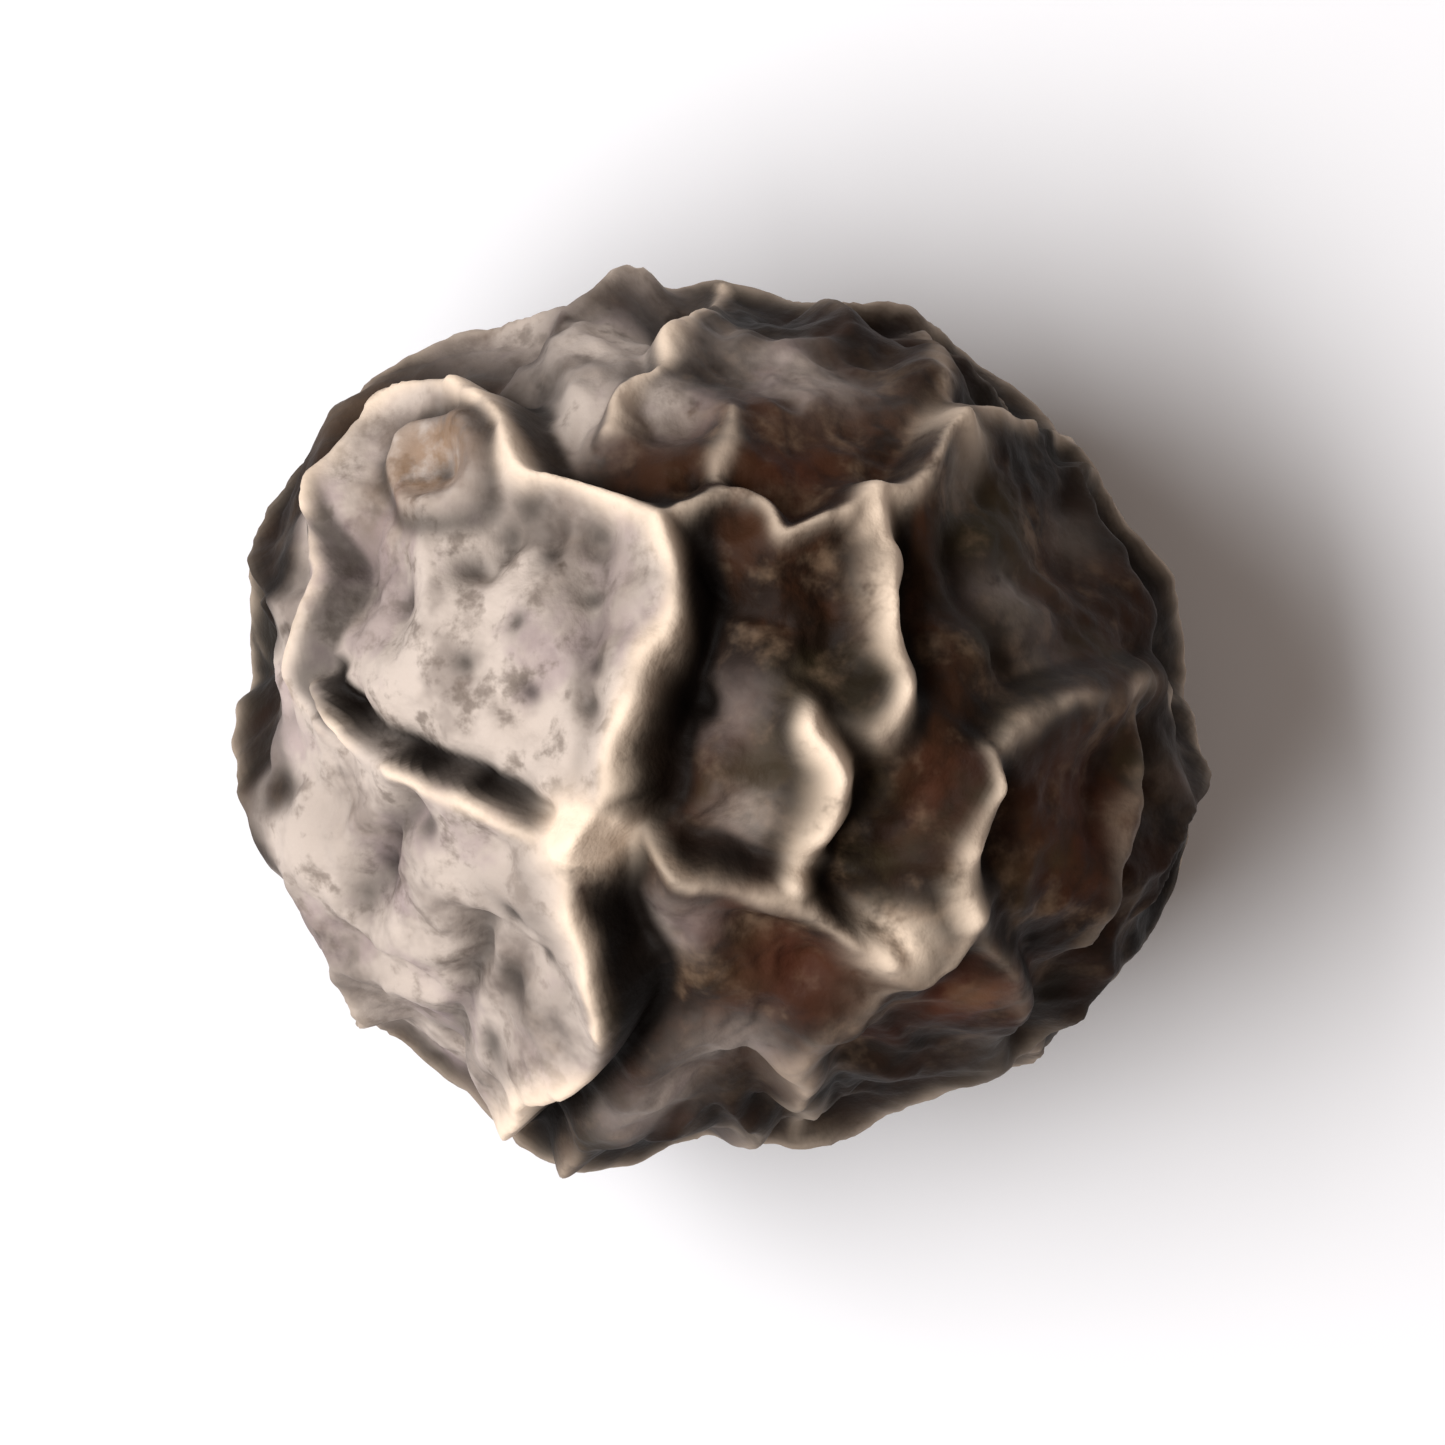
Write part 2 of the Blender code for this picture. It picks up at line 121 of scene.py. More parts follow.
CRESTS = (
    # The main crest: over the top of the two broad panels, then down their right side
    Wrinkle(0.25, 0.13, 0.11, (
        (-2.30, 1.26), (-2.10, 1.64), (-1.80, 1.92), (-1.48, 1.97), (-1.25, 1.80), (-1.13, 1.52),
        (-0.90, 1.40), (-0.64, 1.30), (-0.35, 1.13),
    )),
    Wrinkle(0.27, 0.15, 0.19, (
        (-0.35, 1.13), (-0.28, 0.82), (-0.39, 0.46), (-0.50, 0.08), (-0.58, -0.34),
        (-0.77, -0.63), (-0.85, -0.95), (-0.71, -1.29), (-0.63, -1.62), (-0.80, -1.95),
        (-1.15, -2.22), (-1.45, -2.60),
    )),
    # The lip between the two broad panels: a low swell along the left edge, then a sharp fold
    Wrinkle(0.14, 0.14, 0.08, (
        (-2.26, 1.20), (-2.30, 0.85), (-2.37, 0.50), (-2.38, 0.20), (-2.27, -0.04),
    )),
    Wrinkle(0.14, 0.09, 0.15, (
        (-2.30, 0.26), (-2.16, 0.02), (-1.90, -0.20), (-1.65, -0.34), (-1.30, -0.46),
        (-1.02, -0.59), (-0.77, -0.63),
    )),
    # The lower edge of the cap, to the knot at the upper right and over the edge
    Wrinkle(0.21, 0.12, 0.07, (
        (-0.35, 1.13), (-0.06, 1.30), (0.20, 1.22), (0.40, 1.08), (0.64, 1.20), (0.95, 1.29),
        (1.18, 1.46), (1.42, 1.76), (1.75, 1.72), (2.30, 1.85),
    )),
    Wrinkle(0.18, 0.16, 0.05, ((1.42, 1.76), (1.26, 2.00), (1.30, 2.50))),
    # The two panels of the cap are parted by a fold that runs up over the edge
    Wrinkle(0.15, 0.10, 0.04, (
        (-0.60, 1.70), (-0.53, 1.88), (-0.34, 2.11), (-0.14, 2.34), (0.02, 2.80),
    )),
    Wrinkle(0.11, 0.12, 0.00, ((0.10, 1.78), (0.06, 1.58), (0.02, 1.34))),
    # The upright crests of the middle and the right
    Wrinkle(0.22, 0.12, 0.13, ((0.88, 1.27), (0.96, 0.91), (0.95, 0.53), (1.00, 0.23), (0.95, 0.00))),
    Wrinkle(0.22, 0.12, 0.12, (
        (0.56, 0.02), (0.70, -0.18), (0.63, -0.44), (0.51, -0.70), (0.44, -0.90),
    )),
    Wrinkle(0.21, 0.11, 0.10, (
        (1.56, -0.16), (1.58, -0.40), (1.50, -0.55), (1.43, -0.76), (1.48, -1.08),
    )),
    Wrinkle(0.16, 0.13, 0.05, ((1.48, -1.08), (1.60, -1.35), (1.69, -1.60), (1.62, -2.30))),
    Wrinkle(0.16, 0.14, 0.07, (
        (1.56, -0.16), (1.83, 0.04), (2.05, 0.16), (2.34, 0.20), (2.80, 0.20),
    )),
    Wrinkle(0.12, 0.14, 0.06, ((2.36, 0.20), (2.42, -0.25), (2.26, -0.75), (2.10, -1.20))),
    # The lower edge of the middle panel, to the knot at the lower right
    Wrinkle(0.18, 0.12, 0.11, (
        (-0.55, -0.44), (-0.36, -0.70), (-0.12, -0.89), (0.16, -0.95), (0.44, -0.96), (0.64, -1.12),
        (0.86, -1.27), (1.10, -1.36),
    )),
    Wrinkle(0.19, 0.15, 0.07, ((1.48, -1.08), (1.33, -1.26), (1.10, -1.36))),
    Wrinkle(0.17, 0.20, 0.05, (
        (1.10, -1.36), (0.78, -1.56), (0.52, -1.84), (0.50, -2.14), (0.54, -2.60),
    )),
)

# Round knots where crests meet: place and height above the crests, which reach this foot there
KNOTS = (
    (1.42, 1.76, 0.08),
    (1.09, -1.34, 0.19),
    (-0.77, -0.63, 0.05),
)
KNOT_FOOT = 0.22
KNOT_RADIUS = 0.16

# Shallow folds that only sink, within the panels
FOLDS = (
    Wrinkle(-0.15, 0.12, 0.0, ((-1.72, -0.46), (-1.86, -0.68), (-2.04, -0.98))),
    Wrinkle(-0.16, 0.12, 0.0, ((-1.34, -1.10), (-1.40, -1.45), (-1.42, -1.80))),
    Wrinkle(-0.10, 0.11, 0.0, ((-0.66, 1.02), (-0.68, 0.60), (-0.68, 0.14))),
    Wrinkle(-0.10, 0.12, 0.0, ((-1.38, 0.90), (-1.20, 1.12), (-0.92, 1.08))),
    Wrinkle(-0.05, 0.18, 0.0, ((-1.84, 0.92), (-1.82, 0.58))),
    Wrinkle(-0.09, 0.12, 0.0, ((-0.36, 2.00), (-0.40, 1.66))),
    Wrinkle(-0.10, 0.14, 0.0, ((1.30, 0.95), (1.62, 0.45), (1.72, 0.25))),
)

# The scar where the stalk left: a pad with a raised rim and a dimple, longer down the slope than
# across it
SCAR_CENTRE = (-1.57, 1.46)
SCAR_RADIUS = 0.26
SCAR_STRETCH = 1.5
SCAR_PAD = 0.05
SCAR_RIM = 0.08
SCAR_DIMPLE = 0.11
SCAR_RIM_WIDTH = 0.25
SCAR_DIMPLE_WIDTH = 0.5

# The hidden side has a coarse net of crests and a finer one in patches. Their panels lie round
# centres on an even spiral, each shifted a little. Outside the patches a net keeps its patch share
# of its height. The patches begin and are whole at these levels of the noise
Net = namedtuple("Net", "panels height width shift seed patch_share")

HIDDEN_NETS = (
    Net(46, 0.29, 0.17, 0.18, 5, 1.0),
    Net(140, 0.15, 0.10, 0.10, 11, 0.0),
)
PATCH_SCALE = 0.8
PATCH_SHIFT = 29.0
PATCH_LEVELS = (-0.25, 0.10)

# The panels are warped by this noise, and the nets rise between these heights on the unit sphere
NET_WARP = 0.17
NET_WARP_SCALE = 1.9
NET_WARP_SHIFTS = (3.1, 8.1, 13.1)
HIDDEN_FROM = 0.42
HIDDEN_FULL_BY = -0.12

# The panels sink between the crests, and small rounded wrinkles of two sizes cross them. Those
# fade on the flanks of the crests, where this share of them is left
PANEL_SINK = 0.07
SINK_SOFTNESS = 0.1
SMALL_WRINKLE_HEIGHTS = (0.10, 0.045)
SMALL_WRINKLE_SCALES = (0.95, 2.1)
SMALL_WRINKLE_SHIFT = 21.0
SMALL_WRINKLE_LEVEL = 0.35
SMALL_WRINKLE_ROUNDING = 0.14
FADED_BY_CREST = 0.2
FADED_SHARE = 0.8

# Wrinkles too fine for the part's source: creases and ripples with rounded tops, and a grain.
# Heights in mm, scales in waves to the mm
FINE_WRINKLE_HEIGHTS = (0.029, 0.016)
FINE_WRINKLE_SCALES = (2.6, 5.2)
FINE_WRINKLE_SHIFTS = (33.0, 47.0)
FINE_WRINKLE_LEVEL = 0.35
FINE_WRINKLE_ROUNDING = 0.20
GRAIN_HEIGHT = 0.008
GRAIN_SCALE = 13.0
GRAIN_SHIFT = 61.0

# Small pits in the two broad panels: place, radius and depth, in mm
PITS = (
    (-1.00, 1.22, 0.13, 0.060),
    (-1.22, 1.12, 0.10, 0.045),
    (-0.94, 0.97, 0.09, 0.040),
    (-0.64, 1.06, 0.10, 0.050),
    (-1.42, 0.90, 0.11, 0.050),
    (-0.70, 0.72, 0.09, 0.040),
    (-1.10, 0.58, 0.07, 0.025),
    (-0.67, 0.34, 0.09, 0.045),
    (-0.70, 0.12, 0.08, 0.040),
    (-1.82, 0.74, 0.12, 0.040),
    (-1.05, 0.20, 0.07, 0.025),
    (-1.40, 0.36, 0.08, 0.025),
    (-1.12, -1.02, 0.09, 0.035),
    (-1.62, -0.55, 0.10, 0.045),
    (-1.16, -1.44, 0.15, 0.055),
    (-1.24, -1.74, 0.12, 0.045),
    (-0.92, -1.22, 0.08, 0.030),
)

# The worn pale line along each crest, in the order of CRESTS: how strong it is, how wide in crest
# widths, and how strong the painted shade on the flank on the right of its run is, as a share of the
# left one
Line = namedtuple("Line", "worn width right_flank")

LINES = (
    # The main crest
    Line(0.90, 0.46, 0.0),
    Line(1.00, 0.46, 0.0),
    # The lip between the broad panels
    Line(0.55, 0.42, 0.0),
    Line(0.80, 0.42, 0.0),
    # The cap's lower edge, the spur from its knot, the cap's fold and its small crest
    Line(0.60, 0.42, 0.0),
    Line(0.40, 0.42, 0.0),
    Line(0.85, 0.46, 0.0),
    Line(0.35, 0.42, 0.0),
    # The upright crests, then the fainter ones at the right
    Line(0.95, 0.62, 0.6),
    Line(1.00, 0.60, 0.5),
    Line(0.80, 0.60, 0.4),
    Line(0.12, 0.42, 0.0),
    Line(0.35, 0.42, 0.0),
    Line(0.15, 0.42, 0.0),
    # The middle panel's lower edge, and those that run on from its knot
    Line(0.40, 0.42, 0.0),
    Line(0.35, 0.42, 0.0),
    Line(0.28, 0.42, 0.0),
)

# The lines lean off the steep side, and their width varies
LINE_LEAN = 0.15
LINE_VARIATION = 0.9
LINE_VARIATION_SCALE = 2.2
LINE_VARIATION_SHIFT = 77.0

# How worn the nets of the hidden side are, with lines narrowed by this power, and the knots, whose pale
# spots are wear and a painted highlight
HIDDEN_WORN = (0.42, 0.14)
HIDDEN_LINE_POWER = 7
KNOT_WEAR_AND_HIGHLIGHTS = (0.6, 1.0, 2.4)
KNOT_WEAR_AND_HIGHLIGHT_RADIUS = 0.19

# Places where the lines are rubbed less: place, radius and share
UNWORN_SPOTS = (
    (-2.18, 1.50, 0.36, 0.95),
    (-2.30, 1.08, 0.24, 0.90),
    (-2.18, 0.02, 0.20, 0.80),
    (-0.42, 0.22, 0.12, 0.35),
    (-0.80, -0.80, 0.14, 0.45),
    (-0.02, -0.93, 0.16, 0.50),
    (0.20, 1.22, 0.12, 0.40),
)

# Painted shade on the flank and valley beside a crest, on the side away from the light: from where to
# where in crest widths, and how deep in mm the valley is beside which the painted shade is strongest
FLANK_FROM = 0.15
FLANK_FULL = 0.70
FLANK_FULL_TO = 1.9
FLANK_TO = 2.7
SHADE_VALLEY_DEPTH = 0.15

# How strong the painted shade along a fold is for each mm that it sinks, and how wide it is in fold
# widths
FOLD_SHADE = 4.5
FOLD_SHADE_WIDTH = 0.9

# How strong the painted shade is in the pits, and where it lies in scar radii in the middle of the scar
# and the ring round it
PIT_SHADE = 0.75
SCAR_SHADE_RINGS = (0.0, 1.35)
SCAR_SHADE_WIDTH = 0.24
SCAR_SHADE_STRENGTH = 0.70

# Painted shade in the hollows begins at this depth and is full at this one, in mm
HOLLOW_FROM = 0.14
HOLLOW_FULL = 0.30

# Painted shade over the rim: the skin grows darker there, from one height on the unit sphere to another
LOW_FROM = 0.45
LOW_BY = 0.12
PAINTED_RIM_SHADE = 0.72

# The two broad panels face the light and are covered in dust with a painted sheen up to the main crest,
# but thinly in a band beside it. In crest widths from that crest
DUST_AND_SHEEN_EDGE = 0.5
THIN_BAND_PLACE = 1.8
THIN_BAND_WIDTH = 0.9
THIN_BAND_SHARE = 0.40

# The dust and its painted sheen end near the rim, between these heights on the unit sphere. Toward one
# side, at this azimuth in degrees, they reach further down, and the painted shade over the rim begins
# lower. That edge is ragged by this much, in waves of two sizes
RIM_FROM = -0.02
RIM_BY = 0.30
RIM_LEAN = 0.40
RIM_LEAN_AZIMUTH = 228.0
RIM_LEAN_SPREAD = 0.75
RIM_RAGGEDNESS = (0.28, 0.20)
RIM_RAGGED_SCALES = (1.1, 3.4)
RIM_RAGGED_SHIFT = 91.0

# The panels with dust and painted sheen end at the main crest, which for this runs on over the rim at
# both ends
BORDER_START = (-3.20, 1.80)
BORDER_END = (-1.90, -3.40)

# Other places with dust and a painted sheen, those of the panels where both are thin, and reddish and
# tan ones: place, radius and share
DUST_AND_SHEEN_SPOTS = (
    (-1.05, 2.20, 0.46, 1.00),
    (-0.64, 2.12, 0.48, 1.00),
    (-0.84, 1.76, 0.34, 0.90),
    (-0.96, 2.36, 0.30, 0.85),
    (-0.52, 2.40, 0.32, 0.85),
    (-0.26, 1.80, 0.24, 0.75),
    (-0.10, 2.16, 0.26, 0.40),
    (0.42, 1.95, 0.36, 0.60),
    (0.05, 0.05, 0.32, 0.14),
    (0.15, -0.48, 0.22, 0.28),
    (-0.28, -1.12, 0.24, 0.40),
    (0.05, -1.80, 0.36, 0.34),
    (-0.35, -2.12, 0.32, 0.42),
    (0.12, -2.24, 0.24, 0.30),
    (0.42, -1.92, 0.22, 0.35),
    (1.80, 0.55, 0.40, 0.10),
    (1.60, 0.75, 0.20, 0.34),
    (1.94, 1.05, 0.18, 0.26),
    (1.30, 1.32, 0.16, 0.22),
    (2.42, -0.28, 0.16, 0.35),
    (1.50, -1.70, 0.24, 0.16),
)
THIN_DUST_AND_SHEEN_SPOTS = (
    (-0.74, 0.80, 0.30, 0.35),
    (-1.05, 1.15, 0.24, 0.40),
    (-2.04, 0.64, 0.26, 0.50),
    (-2.18, -0.50, 0.34, 0.42),
    (-1.15, -0.95, 0.30, 0.45),
    (-1.14, -1.45, 0.36, 0.65),
    (-1.55, -1.05, 0.30, 0.35),
    (-1.84, -0.70, 0.26, 0.50),
    (-1.95, -1.30, 0.50, 0.45),
)
RUSTY_SPOTS = (
    (1.38, -1.46, 0.34, 0.8),
    (0.36, -1.30, 0.34, 0.45),
    (2.00, -0.55, 0.42, 0.4),
    (0.85, 2.10, 0.40, 0.4),
    (0.40, 1.42, 0.24, 0.35),
    (1.25, -0.50, 0.25, 0.4),
    (-0.05, -0.95, 0.25, 0.4),
    (-2.06, 1.58, 0.26, 0.50),
)
TANNED_SPOTS = (
    (-1.57, 1.46, 0.36, 0.90),
    (-1.98, 1.66, 0.26, 0.60),
    (0.86, -1.52, 0.16, 0.60),
    (0.46, -1.90, 0.24, 0.60),
    (1.36, -1.44, 0.16, 0.35),
)

# The colours laid over the dark skin in turn. Each covers the share of the mesh that it is named
# for, or all of it, as far as blotches this wide in mm let it: the noise where they begin and where
# they are full, and how much they then cover
Layer = namedtuple("Layer", "share colour blotch begins full cover")

SKIN_COLOUR = "#1C1109"
LAYERS = (
    # Brown, olive and reddish flesh dried under the skin, with darker and paler mottling
    Layer(None, "#382011", 0.9, 0.38, 0.62, 1.0),
    Layer(None, "#342D1C", 1.3, 0.52, 0.66, 0.6),
    Layer(None, "#3E2016", 1.7, 0.54, 0.68, 0.6),
    Layer(None, "#140C07", 0.45, 0.50, 0.66, 0.75),
    Layer(None, "#6B5745", 0.30, 0.48, 0.78, 0.85),
    # Dust, with a sheen painted into it, comes in a grey coat, a paler one and a thin mauve one, and is
    # rubbed off in small flecks
    Layer("dust_and_sheen", "#9C9088", 0.30, 0.24, 0.46, 0.95),
    Layer("dust_and_sheen", "#C6B9AF", 0.70, 0.38, 0.56, 0.85),
    Layer("dust_and_sheen", "#978588", 0.90, 0.50, 0.62, 0.60),
    Layer("dust_and_sheen", "#655950", 0.20, 0.50, 0.68, 0.70),
    # Stained places, then painted shade in the valleys, on the flanks, in the folds, pits and hollows
    # and over the rim, and the pale worn crests and knots, the knots' spots partly a painted highlight
    Layer("rusty", "#52291B", 0.5, 0.28, 0.56, 1.0),
    Layer("tanned", "#876A4F", 0.22, 0.30, 0.56, 0.90),
    # Painted shade in the valleys, folds, pits, hollows and over the rim
    Layer("painted_shade", "#0E0805", 3.00, 0.10, 0.30, 1.0),
    Layer("worn", "#EFDAC4", 0.34, 0.20, 0.48, 1.0),
)

# The layers take their blotches from places this far apart, and those have fine, rough edges
LAYER_SPACING = 7.0
BLOTCH_DETAIL = 4.0
BLOTCH_ROUGHNESS = 0.6

# Waxy and rubbed patches this wide in mm give the skin these roughnesses, where the noise lies
# between these levels
ROUGH_PATCH_WIDTH = 0.4
ROUGH_PATCH_DETAIL = 3.0
ROUGH_PATCH_LEVELS = (0.3, 0.7)
SKIN_ROUGHNESS = (0.58, 0.78)
SKIN_IOR = 1.45
SKIN_GLOSS = 0.14

# The skin's cells are about 0.03 mm wide, and drawn at twice that so that they show
CELL_WIDTH = 0.06
CELL_DETAIL = 4.0
CELL_HEIGHT = 0.020
CELL_STRENGTH = 0.45

PAPER_COLOUR = "#ECEDF1"
PAPER_ROUGHNESS = 0.95

# The photograph looks straight down, from far off. Its frame takes in this many mm of the floor. What
# the camera can see lies between its distance divided by the clip factor and multiplied by it
FRAME_WIDTH = 8.0
CAMERA_LENS_MM = 600.0
SENSOR_MM = 36.0
CLIP_FACTOR = 20

# The key light stands to the left and a little below the berry as seen in the frame. Azimuth and
# elevation in degrees, distance and size in metres, power in watts
KEY_AZIMUTH = 188.0
KEY_ELEVATION = 58.0
KEY_DISTANCE = 0.12
KEY_WIDTH = 0.110
KEY_HEIGHT = 0.050
KEY_POWER = 0.20
FILL_COLOUR = "#FFEBDD"
FILL_STRENGTH = 0.26

# In metres
FLOOR_SIZE = 0.6


def smooth_step(low, high, values):
    """Goes from 0 at low to 1 at high with no corner."""
    share = np.clip((values - low) / (high - low), 0.0, 1.0)
    return share * share * (3.0 - 2.0 * share)


def outline_radius(azimuths):
    """The smooth berry's radius in mm from above: a closed curve through OUTLINE_RADII."""
    radii = np.array(OUTLINE_RADII)
    place = np.mod(azimuths / FULL_TURN, 1.0) * len(radii)
    index = np.floor(place).astype(int)
    share = place - index
    before, here, after, beyond = (radii[(index + step) % len(radii)] for step in (-1, 0, 1, 2))
    slope = (after - before) / 2
    next_slope = (beyond - here) / 2
    rise = after - here
    return here + share * (
        slope + share * ((3 * rise - 2 * slope - next_slope) + share * (slope + next_slope - 2 * rise))
    )


def direction_of(x, y, height):
    """The unit direction of a place at this height over the berry, given in mm as seen from above."""
    azimuth = math.atan2(y, x)
    share = math.hypot(x, y) / (float(outline_radius(np.array([azimuth]))[0]) + height)
    tilt = math.asin(share) if share < 1 else math.pi / 2 + (share - 1)
    return np.array([
        math.cos(azimuth) * math.sin(tilt),
        math.sin(azimuth) * math.sin(tilt),
        math.cos(tilt),
    ])


def from_place(places, x, y, height=0.0):
    """How far each place is from this one at this height over the berry, in mm."""
    return np.linalg.norm(places - direction_of(x, y, height) * MEAN_RADIUS, axis=1)


def curve_through(corners):
    """Points of a smooth curve through these corners, as rows."""
    padded = [corners[0], *corners, corners[-1]]
    points = []
    for before, here, after, beyond in zip(padded, padded[1:], padded[2:], padded[3:]):
        for step in range(CURVE_STEPS):
            t = step / CURVE_STEPS
            points.append(
                here
                + 0.5 * t * (after - before)
                + t * t * (before - 2.5 * here + 2 * after - 0.5 * beyond)
                + 0.5 * t ** 3 * (3 * here - before - 3 * after + beyond)
            )
    points.append(corners[-1])
    return np.array(points)


def nearest_on(wrinkle, places):
    """How far each place is from the wrinkle, which side it is on and how deep the valley is there.

    The distance is in crest widths. The side runs from -1, squarely right of its run, to 1.
    """
    height = max(wrinkle.height, 0.0)
    curve = curve_through([direction_of(x, y, height) * MEAN_RADIUS for x, y in wrinkle.points])
    away = np.full(len(places), np.inf)
    leftward = np.zeros(len(places))
    for start, end in zip(curve, curve[1:]):
        run = end - start
        share = np.clip((places - start) @ run / (run @ run), 0.0, 1.0)
        reach = np.linalg.norm(places - start - share[:, None] * run, axis=1)
        closer = reach < away
        to_left = np.cross(start, end)
        away[closer] = reach[closer]
        leftward[closer] = places[closer] @ to_left / np.linalg.norm(to_left)
    side = np.clip(leftward / np.maximum(away, TINY), -1.0, 1.0)

    from_end = np.minimum(*(np.linalg.norm(places - end, axis=1) for end in (curve[0], curve[-1])))
    lengthwise = smooth_step(0.0, VALLEY_END_FADE * wrinkle.width, from_end - away)
    across = away / wrinkle.width
    past = across - VALLEY_OFFSET
    past /= np.where(past < 0, VALLEY_STEEP_SIDE, VALLEY_PANEL_SIDE)
    valley = wrinkle.valley * np.maximum(side, 0.0) ** 2 * lengthwise * np.exp(-(past ** 2))
    return across, side, valley


def waves(places, scale, shift):
    """Smooth noise between -1 and 1 at these places."""
    offset = shift * Vector(NOISE_LINE)
    return np.array([noise.noise(Vector(place) * scale + offset) for place in places])


def wandering(places):
    """The places moved a little, so that wrinkles measured from them wander from their runs."""
    moved = np.column_stack([waves(places, WANDER_SCALE, shift) for shift in WANDER_SHIFTS])
    return places + WANDER * moved


def hidden_crests(net, wandered):
    """The net's crests on the hidden side, from 0 to 1, along the borders of its panels."""
    rng = np.random.default_rng(net.seed)
    index = np.arange(net.panels)
    height = 1 - (2 * index + 1) / net.panels
    azimuth = index * GOLDEN_ANGLE
    ring = np.sqrt(1 - height ** 2)
    centres = np.column_stack([ring * np.cos(azimuth), ring * np.sin(azimuth), height])
    centres += rng.normal(0.0, net.shift, centres.shape)
    centres /= np.linalg.norm(centres, axis=1)[:, None]

    directions = wandered / MEAN_RADIUS
    warp = np.column_stack([waves(directions, NET_WARP_SCALE, shift) for shift in NET_WARP_SHIFTS])
    warped = directions + NET_WARP * warp
    warped /= np.linalg.norm(warped, axis=1)[:, None]
    gaps = np.arccos(np.clip(warped @ centres.T, -1, 1))
    gaps.partition(1, axis=1)
    border = (gaps[:, 1] - gaps[:, 0]) / 2 * MEAN_RADIUS

    patches = smooth_step(*PATCH_LEVELS, waves(wandered, PATCH_SCALE, PATCH_SHIFT))
    cover = net.patch_share + (1 - net.patch_share) * patches
    cover *= smooth_step(HIDDEN_FROM, HIDDEN_FULL_BY, directions[:, 2])
    return cover * np.exp(-((border / net.width) ** CREST_SHARPNESS))


def from_scar(places):
    """How far each place is from the middle of the scar, in scar radii."""
    middle = direction_of(*SCAR_CENTRE, SCAR_PAD)
    down = middle[2] * middle - np.array((0.0, 0.0, 1.0))
    down /= np.linalg.norm(down)
    offset = places - middle * MEAN_RADIUS
    down_slope = (offset @ down)[:, None] * down
    return np.linalg.norm(offset - down_slope + down_slope / SCAR_STRETCH, axis=1) / SCAR_RADIUS


def relief(directions):
    """How far the skin stands above the smooth berry, in mm, in these directions."""
    places = directions * MEAN_RADIUS
    wandered = wandering(places)
    variation = 1 + CREST_VARIATION * waves(places, CREST_VARIATION_SCALE, CREST_VARIATION_SHIFT)
    widening = 1 + WIDTH_VARIATION * waves(places, WIDTH_VARIATION_SCALE, WIDTH_VARIATION_SHIFT)
    crests = np.zeros(len(places))
    valleys = np.zeros(len(places))
    for net in HIDDEN_NETS:
        rise = net.height * variation * hidden_crests(net, wandered)
        crests += rise ** CREST_MEETING_POWER
    for wrinkle in CRESTS:
        across, side, valley = nearest_on(wrinkle, wandered)
        across /= widening
        across *= 1 + FLANK_STEEPNESS * side * min(1.0, wrinkle.valley / DEEP_VALLEY)
        rise = wrinkle.height * variation * np.exp(-(across ** CREST_SHARPNESS))
        crests += rise ** CREST_MEETING_POWER
        valleys = np.maximum(valleys, valley)
    crests = crests ** (1 / CREST_MEETING_POWER)

    level = crests - valleys - PANEL_SINK * (1 - crests / (crests + SINK_SOFTNESS))
    for x, y, height in KNOTS:
        away = from_place(places, x, y, KNOT_FOOT + height)
        level += height * np.exp(-((away / KNOT_RADIUS) ** 2))
    for fold in FOLDS:
        across, _, _ = nearest_on(fold, wandered)
        level += fold.height * np.exp(-(across ** 2))

    away = from_scar(places)
    level += SCAR_PAD * np.exp(-(away ** 4))
    level += SCAR_RIM * np.exp(-(((away - 1) / SCAR_RIM_WIDTH) ** 2))
    level -= SCAR_DIMPLE * np.exp(-((away / SCAR_DIMPLE_WIDTH) ** 2))

    between = 1 - FADED_SHARE * smooth_step(0.0, FADED_BY_CREST, crests)
    for height, scale in zip(SMALL_WRINKLE_HEIGHTS, SMALL_WRINKLE_SCALES):
        folded = waves(places, scale, SMALL_WRINKLE_SHIFT)
        folded = np.sqrt(folded ** 2 + SMALL_WRINKLE_ROUNDING ** 2)
        level += height * between * (1 - folded / SMALL_WRINKLE_LEVEL)

    from_foot = np.arccos(np.clip(-directions[:, 2], -1, 1)) * MEAN_RADIUS
    return level * smooth_step(CALM_RADIUS, WRINKLED_BY, from_foot)


def fine_relief(directions):
    """The wrinkles and pits too fine for the part's source, in mm."""
    places = directions * MEAN_RADIUS
    level = GRAIN_HEIGHT * waves(places, GRAIN_SCALE, GRAIN_SHIFT)
    for height, scale, shift in zip(FINE_WRINKLE_HEIGHTS, FINE_WRINKLE_SCALES, FINE_WRINKLE_SHIFTS):
        folded = np.sqrt(waves(places, scale, shift) ** 2 + FINE_WRINKLE_ROUNDING ** 2)
        level += height * (1 - folded / FINE_WRINKLE_LEVEL)
    for x, y, radius, depth in PITS:
        away = from_place(places, x, y)
        level -= depth * np.exp(-((away / radius) ** 2))
    return level


def spots(places, listed):
    """The share of these soft round spots, from 0 to 1."""
    share = np.zeros(len(places))
    for x, y, radius, strength in listed:
        away = from_place(places, x, y)
        share = np.maximum(share, strength * np.exp(-((away / radius) ** 2)))
    return share


